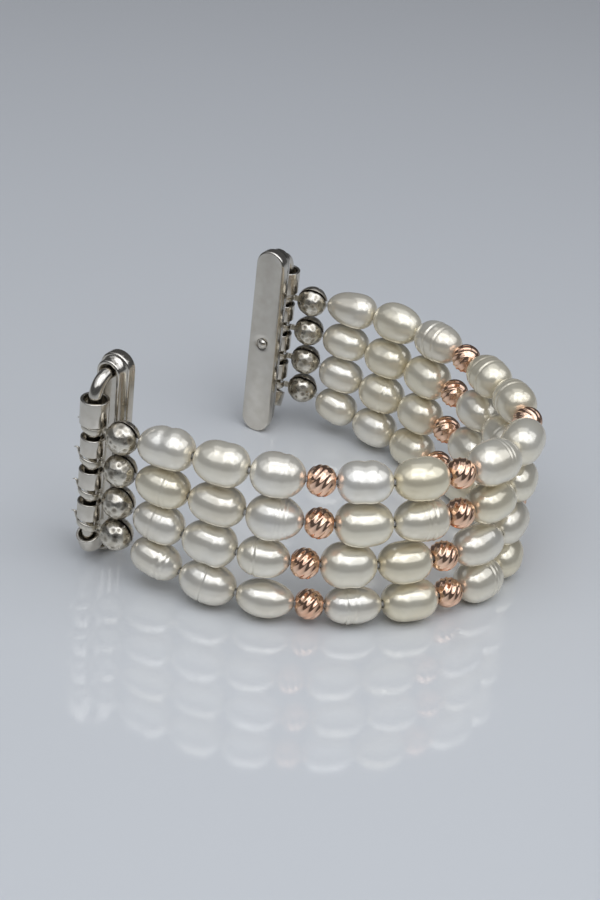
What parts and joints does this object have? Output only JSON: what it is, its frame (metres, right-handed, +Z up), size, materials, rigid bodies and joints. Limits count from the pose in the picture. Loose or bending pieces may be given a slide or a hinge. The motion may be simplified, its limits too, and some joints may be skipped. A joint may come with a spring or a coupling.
{
  "type": "pearl watch band",
  "caption": "Elastic beaded watch band: rows of drilled pearls with fluted rose-gold beads between, hooked by clamshell tips onto rod pins on slide-in lug bars.",
  "frame": {"origin": "on the floor that the band stands on, under the middle of the box round the loop", "axes": "+X from the far lug bar to the near one, across the wrist; +Y away from the watch, towards the front of the loop; +Z up along the pins, across the band's width"},
  "size_m": [0.0579, 0.0534, 0.0305],
  "materials": {
    "nickel": "polished nickel plate",
    "antique_silver": "antiqued, hammered silver plate",
    "pearl": "lustrous off-white nacre",
    "rose_gold": "bright rose-gold plate",
    "cord": "clear elastic beading cord"
  },
  "bodies": {
    "near adapter": {"near_slide_bar": "nickel", "near_rod": "nickel"},
    "near tips": {"near_bead_tip_1": "antique_silver", "near_bead_tip_2": "antique_silver", "near_bead_tip_3": "antique_silver", "near_bead_tip_4": "antique_silver", "near_knots": "cord", "elastic_cord_1": "cord", "elastic_cord_2": "cord", "elastic_cord_3": "cord", "elastic_cord_4": "cord"},
    "pearls 1": {"pearls_01": "pearl"},
    "pearls 2": {"pearls_02": "pearl"},
    "pearls 3": {"pearls_03": "pearl"},
    "rose beads 1": {"rose_beads_1": "rose_gold"},
    "pearls 4": {"pearls_04": "pearl"},
    "pearls 5": {"pearls_05": "pearl"},
    "rose beads 2": {"rose_beads_2": "rose_gold"},
    "pearls 6": {"pearls_06": "pearl"},
    "pearls 7": {"pearls_07": "pearl"},
    "rose beads 3": {"rose_beads_3": "rose_gold"},
    "pearls 8": {"pearls_08": "pearl"},
    "pearls 9": {"pearls_09": "pearl"},
    "rose beads 4": {"rose_beads_4": "rose_gold"},
    "pearls 10": {"pearls_10": "pearl"},
    "pearls 11": {"pearls_11": "pearl"},
    "pearls 12": {"pearls_12": "pearl"},
    "far tips": {"far_bead_tip_1": "antique_silver", "far_bead_tip_2": "antique_silver", "far_bead_tip_3": "antique_silver", "far_bead_tip_4": "antique_silver", "far_knots": "cord"},
    "far adapter": {"far_slide_bar": "nickel", "far_rod": "nickel"},
    "near tube 1": {"near_tube_1": "nickel"},
    "near tube 2": {"near_tube_2": "nickel"},
    "near tube 3": {"near_tube_3": "nickel"},
    "near tube 4": {"near_tube_4": "nickel"},
    "near tube 5": {"near_tube_5": "nickel"},
    "near lock nub": {"near_lock_nub": "nickel", "near_nub_spring": "nickel"},
    "far tube 1": {"far_tube_1": "nickel"},
    "far tube 2": {"far_tube_2": "nickel"},
    "far tube 3": {"far_tube_3": "nickel"},
    "far tube 4": {"far_tube_4": "nickel"},
    "far tube 5": {"far_tube_5": "nickel"},
    "far lock nub": {"far_lock_nub": "nickel", "far_nub_spring": "nickel"}
  },
  "joints": [
    {"name": "near pin", "type": "hinge", "parent": "near adapter", "child": "near tips", "pos_m": [0.02706, -0.02461, 0.01525], "axis": [0, 0, 1], "range_deg": [-95, 15]},
    {"name": "stretch 1", "type": "slide", "parent": "near tips", "child": "pearls 1", "axis": [-0.0611, 0.9981, 0], "range_m": [0, 0.002], "stiffness_N_per_m": 500, "deforming": ["elastic_cord_1", "elastic_cord_2", "elastic_cord_3", "elastic_cord_4"]},
    {"name": "flex pearls 1 to pearls 2", "type": "hinge", "parent": "pearls 1", "child": "pearls 2", "pos_m": [0.02618, -0.01006, 0.01275], "axis": [0, 0, 1], "range_deg": [-6, 4], "deforming": ["elastic_cord_1", "elastic_cord_2", "elastic_cord_3", "elastic_cord_4"]},
    {"name": "flex pearls 2 to pearls 3", "type": "hinge", "parent": "pearls 2", "child": "pearls 3", "pos_m": [0.02501, -0.00231, 0.01275], "axis": [0, 0, 1], "range_deg": [-12, 4], "deforming": ["elastic_cord_1", "elastic_cord_2", "elastic_cord_3", "elastic_cord_4"]},
    {"name": "stretch 2", "type": "slide", "parent": "pearls 3", "child": "rose beads 1", "axis": [-0.4201, 0.9075, 0], "range_m": [0, 0.002], "stiffness_N_per_m": 500, "deforming": ["elastic_cord_1", "elastic_cord_2", "elastic_cord_3", "elastic_cord_4"]},
    {"name": "flex rose beads 1 to pearls 4", "type": "hinge", "parent": "rose beads 1", "child": "pearls 4", "pos_m": [0.02047, 0.00815, 0.01275], "axis": [0, 0, 1], "range_deg": [-18, 4], "deforming": ["elastic_cord_1", "elastic_cord_2", "elastic_cord_3", "elastic_cord_4"]},
    {"name": "flex pearls 4 to pearls 5", "type": "hinge", "parent": "pearls 4", "child": "pearls 5", "pos_m": [0.01567, 0.01422, 0.01275], "axis": [0, 0, 1], "range_deg": [-13, 4], "deforming": ["elastic_cord_1", "elastic_cord_2", "elastic_cord_3", "elastic_cord_4"]},
    {"name": "stretch 3", "type": "slide", "parent": "pearls 5", "child": "rose beads 2", "axis": [-0.819, 0.5739, 0], "range_m": [0, 0.002], "stiffness_N_per_m": 500, "deforming": ["elastic_cord_1", "elastic_cord_2", "elastic_cord_3", "elastic_cord_4"]},
    {"name": "flex rose beads 2 to pearls 6", "type": "hinge", "parent": "rose beads 2", "child": "pearls 6", "pos_m": [0.00623, 0.02121, 0.01275], "axis": [0, 0, 1], "range_deg": [-21, 4], "deforming": ["elastic_cord_1", "elastic_cord_2", "elastic_cord_3", "elastic_cord_4"]},
    {"name": "flex pearls 6 to pearls 7", "type": "hinge", "parent": "pearls 6", "child": "pearls 7", "pos_m": [-0.00133, 0.02384, 0.01275], "axis": [0, 0, 1], "range_deg": [-30, 4], "deforming": ["elastic_cord_1", "elastic_cord_2", "elastic_cord_3", "elastic_cord_4"]},
    {"name": "flex pearls 7 to rose beads 3", "type": "hinge", "parent": "pearls 7", "child": "rose beads 3", "pos_m": [-0.009, 0.02243, 0.01275], "axis": [0, 0, 1], "range_deg": [-25, 4], "deforming": ["elastic_cord_1", "elastic_cord_2", "elastic_cord_3", "elastic_cord_4"]},
    {"name": "flex rose beads 3 to pearls 8", "type": "hinge", "parent": "rose beads 3", "child": "pearls 8", "pos_m": [-0.01231, 0.02013, 0.01275], "axis": [0, 0, 1], "range_deg": [-15, 4], "deforming": ["elastic_cord_1", "elastic_cord_2", "elastic_cord_3", "elastic_cord_4"]},
    {"name": "stretch 4", "type": "slide", "parent": "pearls 8", "child": "pearls 9", "axis": [-0.5875, -0.8092, 0], "range_m": [0, 0.002], "stiffness_N_per_m": 500, "deforming": ["elastic_cord_1", "elastic_cord_2", "elastic_cord_3", "elastic_cord_4"]},
    {"name": "flex pearls 9 to rose beads 4", "type": "hinge", "parent": "pearls 9", "child": "rose beads 4", "pos_m": [-0.02139, 0.00766, 0.01275], "axis": [0, 0, 1], "range_deg": [-18, 4], "deforming": ["elastic_cord_1", "elastic_cord_2", "elastic_cord_3", "elastic_cord_4"]},
    {"name": "stretch 5", "type": "slide", "parent": "rose beads 4", "child": "pearls 10", "axis": [-0.3431, -0.9393, 0], "range_m": [0, 0.002], "stiffness_N_per_m": 500, "deforming": ["elastic_cord_1", "elastic_cord_2", "elastic_cord_3", "elastic_cord_4"]},
    {"name": "flex pearls 10 to pearls 11", "type": "hinge", "parent": "pearls 10", "child": "pearls 11", "pos_m": [-0.02508, -0.00309, 0.01275], "axis": [0, 0, 1], "range_deg": [-17, 4], "deforming": ["elastic_cord_1", "elastic_cord_2", "elastic_cord_3", "elastic_cord_4"]},
    {"name": "flex pearls 11 to pearls 12", "type": "hinge", "parent": "pearls 11", "child": "pearls 12", "pos_m": [-0.02599, -0.01058, 0.01275], "axis": [0, 0, 1], "range_deg": [-10, 4], "deforming": ["elastic_cord_1", "elastic_cord_2", "elastic_cord_3", "elastic_cord_4"]},
    {"name": "stretch 6", "type": "slide", "parent": "pearls 12", "child": "far tips", "axis": [0.1242, -0.9923, 0], "range_m": [0, 0.002], "stiffness_N_per_m": 500, "deforming": ["elastic_cord_1", "elastic_cord_2", "elastic_cord_3", "elastic_cord_4"]},
    {"name": "far pin", "type": "hinge", "parent": "far tips", "child": "far adapter", "pos_m": [-0.02427, -0.02469, 0.01525], "axis": [0, 0, 1], "range_deg": [-100, 30]},
    {"name": "near tube 1 spin", "type": "hinge", "parent": "near adapter", "child": "near tube 1", "pos_m": [0.02706, -0.02461, 0.02385], "axis": [0, 0, 1], "continuous": true},
    {"name": "near tube 2 spin", "type": "hinge", "parent": "near adapter", "child": "near tube 2", "pos_m": [0.02706, -0.02461, 0.0187], "axis": [0, 0, 1], "continuous": true},
    {"name": "near tube 3 spin", "type": "hinge", "parent": "near adapter", "child": "near tube 3", "pos_m": [0.02706, -0.02461, 0.0137], "axis": [0, 0, 1], "continuous": true},
    {"name": "near tube 4 spin", "type": "hinge", "parent": "near adapter", "child": "near tube 4", "pos_m": [0.02706, -0.02461, 0.0087], "axis": [0, 0, 1], "continuous": true},
    {"name": "near tube 5 spin", "type": "hinge", "parent": "near adapter", "child": "near tube 5", "pos_m": [0.02668, -0.02461, 0.00376], "axis": [0.4423, 0, 0.8969], "continuous": true},
    {"name": "near nub press", "type": "slide", "parent": "near adapter", "child": "near lock nub", "axis": [-1, 0, 0], "range_m": [-0.0004, 0], "stiffness_N_per_m": 300, "springref_m": 0.0003, "deforming": ["near_nub_spring"]},
    {"name": "far tube 1 spin", "type": "hinge", "parent": "far adapter", "child": "far tube 1", "pos_m": [-0.02427, -0.02469, 0.02385], "axis": [0, 0, 1], "continuous": true},
    {"name": "far tube 2 spin", "type": "hinge", "parent": "far adapter", "child": "far tube 2", "pos_m": [-0.02427, -0.02469, 0.0187], "axis": [0, 0, 1], "continuous": true},
    {"name": "far tube 3 spin", "type": "hinge", "parent": "far adapter", "child": "far tube 3", "pos_m": [-0.02427, -0.02469, 0.0137], "axis": [0, 0, 1], "continuous": true},
    {"name": "far tube 4 spin", "type": "hinge", "parent": "far adapter", "child": "far tube 4", "pos_m": [-0.02427, -0.02469, 0.0087], "axis": [0, 0, 1], "continuous": true},
    {"name": "far tube 5 spin", "type": "hinge", "parent": "far adapter", "child": "far tube 5", "pos_m": [-0.02388, -0.02469, 0.00376], "axis": [-0.4423, 0, 0.8969], "continuous": true},
    {"name": "far nub press", "type": "slide", "parent": "far adapter", "child": "far lock nub", "axis": [1, 0, 0], "range_m": [-0.0004, 0], "stiffness_N_per_m": 300, "springref_m": 0.0003, "deforming": ["far_nub_spring"]}
  ],
  "couplings": [
    {"joint": "stretch 2", "follows": "stretch 1", "ratio": 1},
    {"joint": "stretch 3", "follows": "stretch 1", "ratio": 1},
    {"joint": "stretch 4", "follows": "stretch 1", "ratio": 1},
    {"joint": "stretch 5", "follows": "stretch 1", "ratio": 1},
    {"joint": "stretch 6", "follows": "stretch 1", "ratio": 1}
  ]
}
